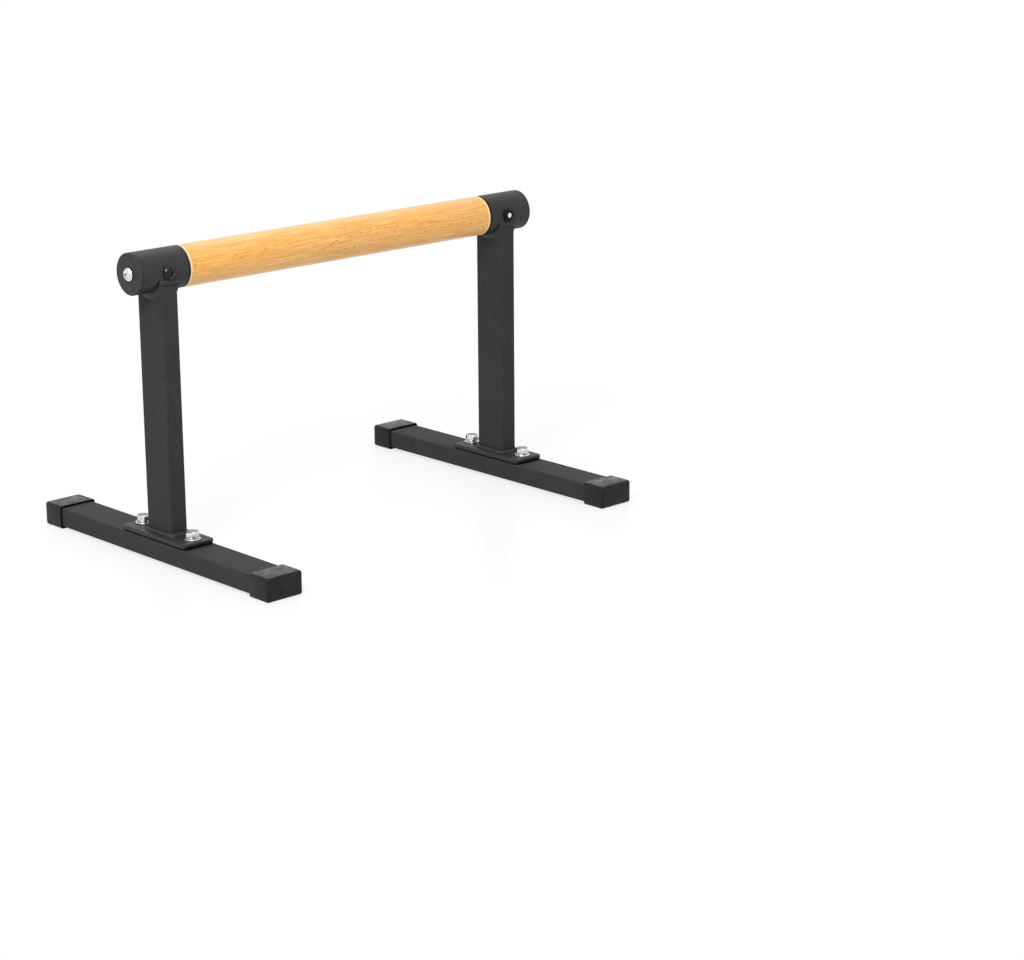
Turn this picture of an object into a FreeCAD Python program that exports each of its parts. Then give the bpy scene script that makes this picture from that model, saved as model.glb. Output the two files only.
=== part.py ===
"""Parallette bar: a wooden grip in two steel sleeves, each welded to a post on a bolted, rubber-capped foot.

Millimetres. The origin is on the floor under the middle of the grip, +X runs along the grip and +Z is up.
Both ends are the same assembly, the left one turned half a turn about Z.
"""
import FreeCAD
import Part
import Sketcher
import math
import os

doc = FreeCAD.newDocument("ParalletteBar")

# Driving dimensions
SIZES = [
    ("bar_diameter", 42.4, "outside of the grip and of the sleeves, which are flush"),
    ("bar_height", 295.4, "axis of the grip above the floor"),
    ("grip_length", 403.6, "bare wood between the two sleeves"),
    ("shoulder_chamfer", 1.0, "chamfer where the wood meets a sleeve"),
    ("sleeve_length", 56.0, "steel sleeve along the bar"),
    ("sleeve_wall", 2.5, "wall of the sleeve"),
    ("sleeve_round", 0.6, "rounding of the sleeve's rims"),
    ("tenon_gap", 0.1, "play between tenon and sleeve, on the radius"),
    ("tenon_setback", 0.5, "tenon end inside the sleeve end, so that the disc clamps the sleeve"),
    ("post_outset", 30.4, "outer end of the sleeve to the middle of the post"),
    ("post_setback", 1.2, "wide tube's side inside the side of the sleeve above it"),
    ("tube_depth", 20.0, "narrow side of the rectangular tube"),
    ("tube_wall", 2.0, "wall of the rectangular tube"),
    ("tube_corner", 2.0, "outer corner radius of the rectangular tube"),
    ("tube_inner_corner", 1.0, "inner corner radius of the rectangular tube"),
    ("root_gap", 0.1, "gap left for the weld between post and sleeve"),
    ("weld_leg", 3.0, "leg of the weld beads"),
    ("weld_bevel", 2.0, "slope cut on the bead at the foot of the post"),
    ("plate_setback", 1.0, "base plate's long edge inside the side of the foot"),
    ("plate_length", 105.0, "base plate along the foot"),
    ("plate_thickness", 5.5, "base plate"),
    ("plate_corner", 4.0, "corner radius of the base plate"),
    ("plate_edge", 1.0, "chamfer around the top of the base plate"),
    ("foot_length", 371.0, "foot tube without its caps"),
    ("cap_grip", 27.5, "length of foot tube inside a cap"),
    ("cap_end", 2.5, "end wall of a cap"),
    ("cap_side", 1.8, "side walls of a cap"),
    ("cap_floor", 2.3, "top and bottom walls of a cap"),
    ("cap_fit", 0.1, "play between cap and foot tube"),
    ("cap_corner", 2.6, "rounding of a cap's long edges"),
    ("cap_edge", 2.4, "rounding of a cap's end face"),
    ("bolt_inset", 11.5, "end of the base plate to the middle of a bolt"),
    ("bolt_diameter", 8.0, "thread of the base bolts"),
    ("bolt_tip", 2.4, "end of a base bolt past its nut"),
    ("bolt_flats", 13.0, "across the flats of the bolt head"),
    ("bolt_head", 5.3, "height of the bolt head"),
    ("bolt_bevel", 0.3, "bevel circle of the bolt head inside its flats"),
    ("bolt_play", 0.5, "play of a bolt in its holes, on the radius"),
    ("washer_diameter", 17.0, "flat washer"),
    ("washer_thickness", 1.6, "flat washer"),
    ("spring_diameter", 14.0, "spring washer"),
    ("spring_thickness", 2.0, "spring washer"),
    ("spring_slit", 1.5, "cut in the spring washer"),
    ("nut_flats", 13.0, "weld nut across its flats"),
    ("nut_height", 6.5, "weld nut"),
    ("thread_gap", 0.1, "play drawn between threads, on the radius"),
    ("disc_thickness", 2.6, "end disc"),
    ("disc_rim", 0.8, "straight edge of the end disc between its rounded rims"),
    ("end_diameter", 8.0, "thread of the end screw"),
    ("end_length", 20.0, "end screw under its head"),
    ("end_head_diameter", 14.0, "end screw head"),
    ("end_head_height", 4.4, "end screw head"),
    ("end_head_rim", 1.0, "straight edge of the end screw head under its dome"),
    ("end_socket_flats", 5.0, "hex socket of the end screw"),
    ("end_socket_depth", 2.6, "hex socket of the end screw"),
    ("insert_diameter", 12.0, "threaded insert in the end of the wood"),
    ("insert_length", 16.0, "threaded insert in the end of the wood"),
    ("insert_gap", 0.1, "play of the insert in its bore, on the radius"),
    ("pilot_spare", 2.5, "bore left free behind the insert"),
    ("cross_diameter", 6.0, "thread of the cross bolt"),
    ("cross_head_diameter", 14.5, "cross bolt head and nut flange"),
    ("cross_head_height", 3.4, "cross bolt head"),
    ("cross_head_rim", 1.0, "straight edge of the cross bolt head under its dome"),
    ("cross_socket_flats", 4.0, "hex socket of the cross bolt"),
    ("cross_socket_depth", 2.2, "hex socket of the cross bolt"),
    ("barrel_diameter", 9.0, "barrel of the sleeve nut"),
    ("barrel_short", 6.4, "end of the sleeve nut's barrel to the head of its bolt"),
    ("barrel_gap", 0.2, "play of the barrel in its hole, on the radius"),
    ("flange_height", 3.0, "flange of the sleeve nut"),
    ("flange_rim", 1.6, "straight edge of the sleeve nut's flange under its rounding"),
    ("tip_inset", 0.8, "end of the cross bolt inside the nut's face"),
]

# Places worked out from them
PLACES = [
    ("bar_radius", "Sizes.bar_diameter / 2"),
    ("sleeve_inner", "Sizes.grip_length / 2"),
    ("sleeve_outer", "Places.sleeve_inner + Sizes.sleeve_length"),
    ("sleeve_bore", "Sizes.bar_diameter - 2 * Sizes.sleeve_wall"),
    ("tenon_diameter", "Places.sleeve_bore - 2 * Sizes.tenon_gap"),
    ("tenon_end", "Places.sleeve_outer - Sizes.tenon_setback"),
    ("cross_hole", "Sizes.barrel_diameter + 2 * Sizes.barrel_gap"),
    ("post_middle", "Places.sleeve_outer - Sizes.post_outset"),
    ("tube_width", "Sizes.bar_diameter - 2 * Sizes.post_setback"),
    ("plate_width", "Places.tube_width - 2 * Sizes.plate_setback"),
    ("foot_middle", "Sizes.cap_floor + Sizes.cap_fit + Sizes.tube_depth / 2"),
    ("foot_top", "Places.foot_middle + Sizes.tube_depth / 2"),
    ("plate_top", "Places.foot_top + Sizes.plate_thickness"),
    ("washer_top", "Places.plate_top + Sizes.washer_thickness"),
    ("spring_top", "Places.washer_top + Sizes.spring_thickness"),
    ("nut_bottom", "Places.foot_top - Sizes.tube_wall - Sizes.nut_height"),
    ("bolt_hole", "Sizes.bolt_diameter + 2 * Sizes.bolt_play"),
    ("bolt_middle", "Sizes.plate_length / 2 - Sizes.bolt_inset"),
    ("bolt_length", "Places.spring_top - Places.nut_bottom + Sizes.bolt_tip"),
    ("disc_outer", "Places.sleeve_outer + Sizes.disc_thickness"),
    ("disc_round", "(Sizes.disc_thickness - Sizes.disc_rim) / 2"),
    ("screw_reach", "Sizes.end_length - Sizes.disc_thickness - Sizes.tenon_setback"),
    ("insert_bore", "max(Sizes.insert_length; Places.screw_reach) + Sizes.pilot_spare"),
    ("barrel_length", "Sizes.bar_diameter - Sizes.barrel_short"),
    ("bead_width", "Places.tube_width + 2 * Sizes.weld_leg"),
    ("saddle_width", "Sizes.bar_diameter - 2 * Sizes.root_gap"),
    ("bead_depth", "Sizes.tube_depth + 2 * Sizes.weld_leg"),
    ("bead_corner", "Sizes.tube_corner + Sizes.weld_leg"),
    ("bead_reach", "Places.bar_radius + Sizes.weld_leg"),
    ("cope_drop", "sqrt(pow(Places.bar_radius; 2) - pow(Places.tube_width / 2; 2))"),
]

ALONG = {"X": FreeCAD.Vector(1, 0, 0), "Y": FreeCAD.Vector(0, 1, 0), "Z": FreeCAD.Vector(0, 0, 1)}
HALF_TURN = FreeCAD.Rotation(ALONG["Z"], 180)
UPRIGHT = FreeCAD.Rotation()
ENDS = (("right", 1, UPRIGHT), ("left", -1, HALF_TURN))
SIDES = (("front", -1, UPRIGHT), ("back", 1, HALF_TURN))

# A sketch numbers its axes down from minus one, and the points of its lines, arcs and circles up from one
X_AXIS, Y_AXIS = range(-1, -3, -1)
START, END, CENTRE = range(1, 4)
ORIGIN = (X_AXIS, START)

# First sizes of a sketch before its dimensions hold, and the least difference that counts
DRAFT = 10.0
DRAFT_CORNER = 2.0
CLOSE = 1e-4
bodies = []


def fill_sheet(name, rows):
    """Makes a sheet with a note, a value and an alias on each row."""
    sheet = doc.addObject("Spreadsheet::Sheet", name)
    for row, (alias, value, note) in enumerate(rows, start=1):
        sheet.set(f"A{row}", note)
        sheet.set(f"B{row}", str(value))
        sheet.setAlias(f"B{row}", alias)
        doc.recompute()
    return sheet


def new_body(label, rotation=UPRIGHT, x="0", y="0", z="0"):
    """Starts a piece, turned by a rotation and set at a place given by three formulas."""
    body = doc.addObject("PartDesign::Body", label)
    body.Label = label
    body.Placement = FreeCAD.Placement(FreeCAD.Vector(), rotation)
    for axis, formula in zip("xyz", (x, y, z)):
        body.setExpression(f"Placement.Base.{axis}", formula)
    bodies.append(body)
    return body


def origin_feature(body, role):
    return next(feature for feature in body.Origin.OriginFeatures if feature.Role == role)


def new_sketch(body, plane, offset=None):
    """Starts a sketch on one of the body's own planes, moved along the plane's normal."""
    sketch = body.newObject("Sketcher::SketchObject", f"{body.Name}_sketch")
    sketch.AttachmentSupport = [(origin_feature(body, f"{plane}_Plane"), "")]
    sketch.MapMode = "FlatFace"
    if offset:
        sketch.setExpression("AttachmentOffset.Base.z", offset)
    return sketch


def measure(sketch, kind, references, value, formula):
    """Adds a dimension to a sketch and ties it to a formula."""
    index = sketch.addConstraint(Sketcher.Constraint(kind, *references, value))
    sketch.setExpression(f"Constraints[{index}]", formula)


def measure_from_origin(sketch, kind, point, value, formula):
    """Sets a point's distance from the sketch's origin; a formula with a leading minus is on the far side."""
    if formula.startswith("-"):
        measure(sketch, kind, (*point, *ORIGIN), value, formula[1:])
    else:
        measure(sketch, kind, (*ORIGIN, *point), value, formula)


def draw_circle(sketch, diameter, x=None, y=None):
    """Draws a circle, on the sketch's origin or off it by formulas along either axis."""
    first_guess = [DRAFT * (-1 if formula.startswith("-") else 1) if formula else 0 for formula in (x, y)]
    circle = sketch.addGeometry(Part.Circle(FreeCAD.Vector(*first_guess, 0), ALONG["Z"], DRAFT / 2), False)
    for kind, formula, axis in (("DistanceX", x, Y_AXIS), ("DistanceY", y, X_AXIS)):
        if formula:
            measure_from_origin(sketch, kind, (circle, CENTRE), DRAFT, formula)
        else:
            sketch.addConstraint(Sketcher.Constraint("PointOnObject", circle, CENTRE, axis))
    measure(sketch, "Diameter", (circle,), DRAFT, diameter)


def draw_polygon(sketch, corners):
    """Draws closed straight lines through corners and returns the number of the first line."""
    first = sketch.GeometryCount
    for begin, end in zip(corners, corners[1:] + corners[:1]):
        line = Part.LineSegment(FreeCAD.Vector(*begin, 0), FreeCAD.Vector(*end, 0))
        sketch.addGeometry(line, False)
    count = len(corners)
    for index in range(count):
        joined = first + (index + 1) % count
        sketch.addConstraint(Sketcher.Constraint("Coincident", first + index, END, joined, START))
    return first


def draw_rectangle(sketch, width, height):
    """Draws a rectangle around the sketch's origin."""
    half = DRAFT / 2
    first = draw_polygon(sketch, [(-half, -half), (half, -half), (half, half), (-half, half)])
    for line, kind in enumerate(("Horizontal", "Vertical", "Horizontal", "Vertical")):
        sketch.addConstraint(Sketcher.Constraint(kind, first + line))
    sketch.addConstraint(Sketcher.Constraint("Symmetric", first, START, first + 2, START, *ORIGIN))
    measure(sketch, "DistanceX", (first, START, first, END), DRAFT, width)
    measure(sketch, "DistanceY", (first + 1, START, first + 1, END), DRAFT, height)


def draw_rounded_rectangle(sketch, width, height, corner):
    """Draws a rectangle with rounded corners around the sketch's origin."""
    half = DRAFT / 2
    inner = half - DRAFT_CORNER
    ends = [((-inner, -half), (inner, -half)), ((half, -inner), (half, inner)),
            ((inner, half), (-inner, half)), ((-half, inner), (-half, -inner))]
    centres = [(inner, -inner), (inner, inner), (-inner, inner), (-inner, -inner)]
    lines = []
    for begin, end in ends:
        line = Part.LineSegment(FreeCAD.Vector(*begin, 0), FreeCAD.Vector(*end, 0))
        lines.append(sketch.addGeometry(line, False))
    arcs = []
    for quarter, centre in enumerate(centres):
        circle = Part.Circle(FreeCAD.Vector(*centre, 0), ALONG["Z"], DRAFT_CORNER)
        turn = (quarter - 1) * math.pi / 2
        arcs.append(sketch.addGeometry(Part.ArcOfCircle(circle, turn, turn + math.pi / 2), False))
    for before, arc, after in zip(lines, arcs, lines[1:] + lines[:1]):
        sketch.addConstraint(Sketcher.Constraint("Tangent", before, END, arc, START))
        sketch.addConstraint(Sketcher.Constraint("Tangent", arc, END, after, START))
    for line, kind in zip(lines, ("Horizontal", "Vertical", "Horizontal", "Vertical")):
        sketch.addConstraint(Sketcher.Constraint(kind, line))
    for arc in arcs[1:]:
        sketch.addConstraint(Sketcher.Constraint("Equal", arcs[0], arc))
    sketch.addConstraint(Sketcher.Constraint("Symmetric", arcs[0], CENTRE, arcs[2], CENTRE, *ORIGIN))
    measure(sketch, "Radius", (arcs[0],), DRAFT_CORNER, corner)
    measure(sketch, "DistanceX", (lines[3], START, lines[1], START), DRAFT, width)
    measure(sketch, "DistanceY", (lines[0], START, lines[2], START), DRAFT, height)


def settle(body, feature, before=None):
    """Stops if a feature failed, or if it is a cut that left the body's volume as it was before."""
    doc.recompute()
    if not feature.isValid():
        raise ValueError(f"{feature.Label} failed")
    if before is not None and feature.Shape.Volume > before - CLOSE:
        raise ValueError(f"{feature.Label} cuts nothing from {body.Label}")
    return feature


def add_pad(body, sketch, length, symmetric=False):
    pad = body.newObject("PartDesign::Pad", f"{body.Name}_pad")
    pad.Profile = sketch
    pad.SideType = "Symmetric" if symmetric else "One side"
    pad.setExpression("Length", length)
    return settle(body, pad)


def add_pocket(body, sketch, length=None, symmetric=False, reverse=False):
    """Cuts a sketch into the body, right through it if no length is given."""
    before = body.Tip.Shape.Volume
    pocket = body.newObject("PartDesign::Pocket", f"{body.Name}_pocket")
    pocket.Profile = sketch
    pocket.SideType = "Symmetric" if symmetric else "One side"
    pocket.Reversed = reverse
    if length:
        pocket.setExpression("Length", length)
    else:
        pocket.Type = "ThroughAll"
    return settle(body, pocket, before)


def round_edges(diameter):
    """Picks the circular edges of one diameter."""
    def test(edge):
        return isinstance(edge.Curve, Part.Circle) and abs(2 * edge.Curve.Radius - diameter) < CLOSE
    return test


def edges_at(axis, place):
    """Picks the edges that lie in a plane square to an axis."""
    def test(edge):
        ends = (getattr(edge.BoundBox, f"{axis}Min"), getattr(edge.BoundBox, f"{axis}Max"))
        return all(abs(end - place) < CLOSE for end in ends)
    return test


def dress(body, kind, size_name, size, test):
    """Fillets or chamfers the edges of the body that pass a test."""
    base = body.Tip
    names = [f"Edge{number}" for number, edge in enumerate(base.Shape.Edges, start=1) if test(edge)]
    if not names:
        raise ValueError(f"{body.Label} has no edge for its {kind}")
    feature = body.newObject(f"PartDesign::{kind}", f"{body.Name}_{kind}")
    feature.Base = (base, names)
    feature.setExpression(size_name, size)
    return settle(body, feature)


def fillet(body, radius, test):
    return dress(body, "Fillet", "Radius", radius, test)


def chamfer(body, size, test):
    return dress(body, "Chamfer", "Size", size, test)


def primitive(body, kind, z, **formulas):
    """Adds or cuts a PartDesign primitive that stands on the body's Z axis."""
    before = body.Tip.Shape.Volume if kind.startswith("Subtractive") else None
    feature = body.newObject(f"PartDesign::{kind}", f"{body.Name}_{kind}")
    feature.setExpression("Placement.Base.z", z)
    for name, formula in formulas.items():
        feature.setExpression(name, formula)
    return settle(body, feature, before)


def add_cylinder(body, diameter, height, z="0"):
    return primitive(body, "AdditiveCylinder", z, Radius=f"({diameter}) / 2", Height=height)


def cut_cylinder(body, diameter, height, z="0"):
    return primitive(body, "SubtractiveCylinder", z, Radius=f"({diameter}) / 2", Height=height)


def add_hexagon(body, flats, height, z="0"):
    corner = f"{flats} / sqrt(3)"
    return primitive(body, "AdditivePrism", z, Polygon="6", Circumradius=corner, Height=height)


def cut_hexagon(body, flats, height, z="0"):
    corner = f"{flats} / sqrt(3)"
    return primitive(body, "SubtractivePrism", z, Polygon="6", Circumradius=corner, Height=height)


def make_grip():
    """The wooden grip: a turned bar with a tenon, an insert bore and a cross hole at each end."""
    body = new_body("wooden_grip", z="Sizes.bar_height")
    sketch = new_sketch(body, "YZ")
    draw_circle(sketch, "Places.tenon_diameter")
    add_pad(body, sketch, "2 * Places.tenon_end", symmetric=True)
    sketch = new_sketch(body, "YZ")
    draw_circle(sketch, "Sizes.bar_diameter")
    add_pad(body, sketch, "Sizes.grip_length", symmetric=True)
    chamfer(body, "Sizes.shoulder_chamfer", round_edges(sizes.bar_diameter))
    sketch = new_sketch(body, "YZ", "Places.tenon_end")
    draw_circle(sketch, "Sizes.insert_diameter + 2 * Sizes.insert_gap")
    bore = add_pocket(body, sketch, "Places.insert_bore")
    mirror = body.newObject("PartDesign::Mirrored", "wooden_grip_mirror")
    mirror.Originals = [bore]
    mirror.MirrorPlane = (origin_feature(body, "YZ_Plane"), [""])
    body.Tip = mirror
    doc.recompute()
    sketch = new_sketch(body, "XZ")
    draw_circle(sketch, "Places.cross_hole", x="Places.post_middle")
    draw_circle(sketch, "Places.cross_hole", x="-Places.post_middle")
    add_pocket(body, sketch, symmetric=True)


def make_sleeve(end, rotation):
    """The steel sleeve around one end of the grip."""
    body = new_body(f"sleeve_{end}", rotation, z="Sizes.bar_height")
    sketch = new_sketch(body, "YZ", "Places.sleeve_inner")
    draw_circle(sketch, "Sizes.bar_diameter")
    draw_circle(sketch, "Places.sleeve_bore")
    add_pad(body, sketch, "Sizes.sleeve_length")
    fillet(body, "Sizes.sleeve_round", round_edges(sizes.bar_diameter))
    sketch = new_sketch(body, "XZ")
    draw_circle(sketch, "Places.cross_hole", x="Places.post_middle")
    add_pocket(body, sketch, symmetric=True)


def make_tube(body, plane, width, height, length, offset=None, symmetric=False):
    """Makes a length of rectangular tube with rounded corners outside and inside."""
    sketch = new_sketch(body, plane, offset)
    draw_rounded_rectangle(sketch, width, height, "Sizes.tube_corner")
    draw_rounded_rectangle(sketch, f"{width} - 2 * Sizes.tube_wall", f"{height} - 2 * Sizes.tube_wall",
                           "Sizes.tube_inner_corner")
    add_pad(body, sketch, length, symmetric)


def make_post(end, sign, rotation):
    """A post: a rectangular tube whose top is hollowed to sit under the sleeve."""
    body = new_body(f"post_{end}", rotation, x=f"{sign} * Places.post_middle")
    height = "Sizes.bar_height - Places.plate_top"
    make_tube(body, "XY", "Sizes.tube_depth", "Places.tube_width", height, offset="Places.plate_top")
    sketch = new_sketch(body, "YZ")
    draw_circle(sketch, "Sizes.bar_diameter + 2 * Sizes.root_gap", y="Sizes.bar_height")
    add_pocket(body, sketch, symmetric=True)


def bead_around_post(body, bottom, width, height):
    """Starts a weld bead as a rounded block around the post."""
    sketch = new_sketch(body, "XY", bottom)
    draw_rounded_rectangle(sketch, "Places.bead_depth", width, "Places.bead_corner")
    add_pad(body, sketch, height)


def cut_post_from_bead(body, bottom):
    """Cuts the post's own outline out of a weld bead."""
    sketch = new_sketch(body, "XY", bottom)
    draw_rounded_rectangle(sketch, "Sizes.tube_depth", "Places.tube_width", "Sizes.tube_corner")
    add_pocket(body, sketch, reverse=True)


def make_sleeve_weld(end, sign, rotation):
    """The saddle-shaped bead between the post and the sleeve, flush with the sleeve's sides."""
    body = new_body(f"sleeve_weld_{end}", rotation, x=f"{sign} * Places.post_middle")
    bottom = "Sizes.bar_height - Places.bead_reach"
    height = "Places.bead_reach - Places.cope_drop + Sizes.weld_leg"
    bead_around_post(body, bottom, "Places.saddle_width", height)
    cut_post_from_bead(body, bottom)
    sketch = new_sketch(body, "YZ")
    draw_rectangle(sketch, "4 * Places.bead_reach", "2 * Sizes.bar_height + 4 * Places.bead_reach")
    draw_circle(sketch, "2 * Places.bead_reach", y="Sizes.bar_height")
    draw_circle(sketch, "Sizes.bar_diameter", y="Sizes.bar_height")
    add_pocket(body, sketch, symmetric=True)


def make_post_weld(end, sign, rotation):
    """The bead around the foot of the post, on the base plate."""
    body = new_body(f"post_weld_{end}", rotation, x=f"{sign} * Places.post_middle")
    bead_around_post(body, "Places.plate_top", "Places.bead_width", "Sizes.weld_leg")
    chamfer(body, "Sizes.weld_bevel", edges_at("Z", places.plate_top + sizes.weld_leg))
    cut_post_from_bead(body, "Places.plate_top")


def draw_bolt_holes(sketch):
    for place in ("Places.bolt_middle", "-Places.bolt_middle"):
        draw_circle(sketch, "Places.bolt_hole", y=place)


def make_base_plate(end, sign, rotation):
    """The plate under the post, with a bolt hole at each end."""
    body = new_body(f"base_plate_{end}", rotation, x=f"{sign} * Places.post_middle")
    sketch = new_sketch(body, "XY", "Places.foot_top")
    draw_rounded_rectangle(sketch, "Places.plate_width", "Sizes.plate_length", "Sizes.plate_corner")
    add_pad(body, sketch, "Sizes.plate_thickness")
    chamfer(body, "Sizes.plate_edge", edges_at("Z", places.plate_top))
    sketch = new_sketch(body, "XY")
    draw_bolt_holes(sketch)
    add_pocket(body, sketch, reverse=True)


def make_foot_tube(end, sign, rotation):
    """The foot: a rectangular tube lying on its wide side, drilled through its top wall for the bolts."""
    body = new_body(f"foot_tube_{end}", rotation, x=f"{sign} * Places.post_middle", z="Places.foot_middle")
    make_tube(body, "XZ", "Places.tube_width", "Sizes.tube_depth", "Sizes.foot_length", symmetric=True)
    sketch = new_sketch(body, "XY")
    draw_bolt_holes(sketch)
    add_pocket(body, sketch, reverse=True)


def make_foot_cap(end, sign, side, side_sign, rotation):
    """The rubber cap over one end of a foot tube."""
    body = new_body(f"foot_cap_{end}_{side}", rotation, x=f"{sign} * Places.post_middle",
                    y=f"{side_sign} * Sizes.foot_length / 2", z="Places.foot_middle")
    sketch = new_sketch(body, "XZ", "-Sizes.cap_grip")
    draw_rounded_rectangle(sketch, "Places.tube_width + 2 * (Sizes.cap_fit + Sizes.cap_side)",
                           "Sizes.tube_depth + 2 * (Sizes.cap_fit + Sizes.cap_floor)", "Sizes.cap_corner")
    add_pad(body, sketch, "Sizes.cap_grip + Sizes.cap_fit + Sizes.cap_end")
    fillet(body, "Sizes.cap_edge", edges_at("Y", -sizes.cap_fit - sizes.cap_end))
    sketch = new_sketch(body, "XZ", "-Sizes.cap_grip")
    draw_rounded_rectangle(sketch, "Places.tube_width + 2 * Sizes.cap_fit",
                           "Sizes.tube_depth + 2 * Sizes.cap_fit", "Sizes.tube_corner + Sizes.cap_fit")
    add_pocket(body, sketch, "Sizes.cap_grip + Sizes.cap_fit", reverse=True)


def bevel_hexagon(body, flats, height, inset):
    """Turns the corners off the top of a hexagon head at 30 degrees."""
    inner = f"({flats} / 2 - {inset})"
    outer = f"({flats} / sqrt(3) + {inset})"
    drop = f"({height} - ({outer} - {inner}) * tan(30 deg))"
    sketch = new_sketch(body, "XZ")
    first = draw_polygon(sketch, [(DRAFT, DRAFT), (2 * DRAFT, DRAFT), (2 * DRAFT, DRAFT / 2)])
    for corner, (x, z) in enumerate(((inner, height), (outer, height), (outer, drop))):
        measure_from_origin(sketch, "DistanceX", (first + corner, START), DRAFT, x)
        measure_from_origin(sketch, "DistanceY", (first + corner, START), DRAFT, z)
    before = body.Tip.Shape.Volume
    groove = body.newObject("PartDesign::Groove", f"{body.Name}_bevel")
    groove.Profile = sketch
    groove.ReferenceAxis = (origin_feature(body, "Z_Axis"), [""])
    settle(body, groove, before)


def make_base_bolt(label, **place):
    """A hexagon bolt, made with the underside of its head on the body's origin."""
    body = new_body(label, z="Places.spring_top", **place)
    add_hexagon(body, "Sizes.bolt_flats", "Sizes.bolt_head")
    bevel_hexagon(body, "Sizes.bolt_flats", "Sizes.bolt_head", "Sizes.bolt_bevel")
    add_cylinder(body, "Sizes.bolt_diameter", "Places.bolt_length", z="-Places.bolt_length")


def make_washer(body, outside, inside, thickness):
    sketch = new_sketch(body, "XY")
    draw_circle(sketch, outside)
    draw_circle(sketch, inside)
    add_pad(body, sketch, thickness)


def make_spring_washer(label, **place):
    """A split ring under the bolt head."""
    body = new_body(label, z="Places.washer_top", **place)
    inside = "Sizes.bolt_diameter + 2 * Sizes.thread_gap"
    make_washer(body, "Sizes.spring_diameter", inside, "Sizes.spring_thickness")
    slit = primitive(body, "SubtractiveBox", "0", Length="Sizes.spring_diameter", Width="Sizes.spring_slit",
                     Height="Sizes.spring_thickness")
    slit.setExpression("Placement.Base.y", "-Sizes.spring_slit / 2")
    settle(body, slit)


def make_flat_washer(label, **place):
    body = new_body(label, z="Places.plate_top", **place)
    make_washer(body, "Sizes.washer_diameter", "Places.bolt_hole", "Sizes.washer_thickness")


def make_weld_nut(label, **place):
    """The nut welded under the top wall of the foot tube."""
    body = new_body(label, z="Places.nut_bottom", **place)
    add_hexagon(body, "Sizes.nut_flats", "Sizes.nut_height")
    cut_cylinder(body, "Sizes.bolt_diameter + 2 * Sizes.thread_gap", "Sizes.nut_height")


def make_end_disc(end, rotation):
    """The disc that closes the sleeve, with its rims rounded."""
    body = new_body(f"end_disc_{end}", rotation, z="Sizes.bar_height")
    sketch = new_sketch(body, "YZ", "Places.sleeve_outer")
    draw_circle(sketch, "Sizes.bar_diameter")
    draw_circle(sketch, "Sizes.end_diameter + 2 * Sizes.bolt_play")
    add_pad(body, sketch, "Sizes.disc_thickness")
    fillet(body, "Places.disc_round", round_edges(sizes.bar_diameter))


def make_socket_screw(body, family, length):
    """A domed screw with a hexagon socket, made with the underside of its head on the body's origin."""
    size = f"Sizes.{family}"
    add_cylinder(body, f"{size}_head_diameter", f"{size}_head_height")
    top = edges_at("Z", getattr(sizes, f"{family}_head_height"))
    fillet(body, f"{size}_head_height - {size}_head_rim", top)
    socket_floor = f"{size}_head_height - {size}_socket_depth"
    cut_hexagon(body, f"{size}_socket_flats", f"{size}_socket_depth", z=socket_floor)
    add_cylinder(body, f"{size}_diameter", length, z=f"-({length})")


def make_end_fittings(end, sign, rotation):
    """The screw through the end disc and the threaded insert that it bites in the wood."""
    outward = rotation.multiply(FreeCAD.Rotation(ALONG["Y"], 90))
    screw = new_body(f"end_screw_{end}", outward, x=f"{sign} * Places.disc_outer", z="Sizes.bar_height")
    make_socket_screw(screw, "end", "Sizes.end_length")
    insert = new_body(f"end_insert_{end}", outward, x=f"{sign} * Places.tenon_end", z="Sizes.bar_height")
    add_cylinder(insert, "Sizes.insert_diameter", "Sizes.insert_length", z="-Sizes.insert_length")
    cut_cylinder(insert, "Sizes.end_diameter + 2 * Sizes.thread_gap", "Sizes.insert_length",
                 z="-Sizes.insert_length")


def make_cross_fittings(end, sign, rotation):
    """The bolt across the sleeve and the tenon, and its sleeve nut on the other side."""
    x = f"{sign} * Places.post_middle"
    bolt_way = rotation.multiply(FreeCAD.Rotation(ALONG["X"], -90))
    bolt = new_body(f"cross_bolt_{end}", bolt_way, x=x, y=f"{sign} * Places.bar_radius", z="Sizes.bar_height")
    make_socket_screw(bolt, "cross", "Sizes.bar_diameter + Sizes.flange_height - Sizes.tip_inset")
    nut_way = rotation.multiply(FreeCAD.Rotation(ALONG["X"], 90))
    nut = new_body(f"cross_nut_{end}", nut_way, x=x, y=f"{-sign} * Places.bar_radius", z="Sizes.bar_height")
    add_cylinder(nut, "Sizes.cross_head_diameter", "Sizes.flange_height")
    fillet(nut, "Sizes.flange_height - Sizes.flange_rim", edges_at("Z", sizes.flange_height))
    add_cylinder(nut, "Sizes.barrel_diameter", "Places.barrel_length", z="-Places.barrel_length")
    cut_cylinder(nut, "Sizes.cross_diameter + 2 * Sizes.thread_gap",
                 "Places.barrel_length + Sizes.flange_height", z="-Places.barrel_length")


def make_end(end, sign, rotation):
    """Everything at one end of the bar."""
    make_sleeve(end, rotation)
    make_end_disc(end, rotation)
    make_end_fittings(end, sign, rotation)
    make_cross_fittings(end, sign, rotation)
    make_sleeve_weld(end, sign, rotation)
    make_post(end, sign, rotation)
    make_post_weld(end, sign, rotation)
    make_base_plate(end, sign, rotation)
    make_foot_tube(end, sign, rotation)
    for side, side_sign, side_rotation in SIDES:
        make_foot_cap(end, sign, side, side_sign, side_rotation)
        place = {"x": f"{sign} * Places.post_middle", "y": f"{side_sign} * Places.bolt_middle"}
        make_base_bolt(f"base_bolt_{end}_{side}", **place)
        make_spring_washer(f"spring_washer_{end}_{side}", **place)
        make_flat_washer(f"flat_washer_{end}_{side}", **place)
        make_weld_nut(f"weld_nut_{end}_{side}", **place)


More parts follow.
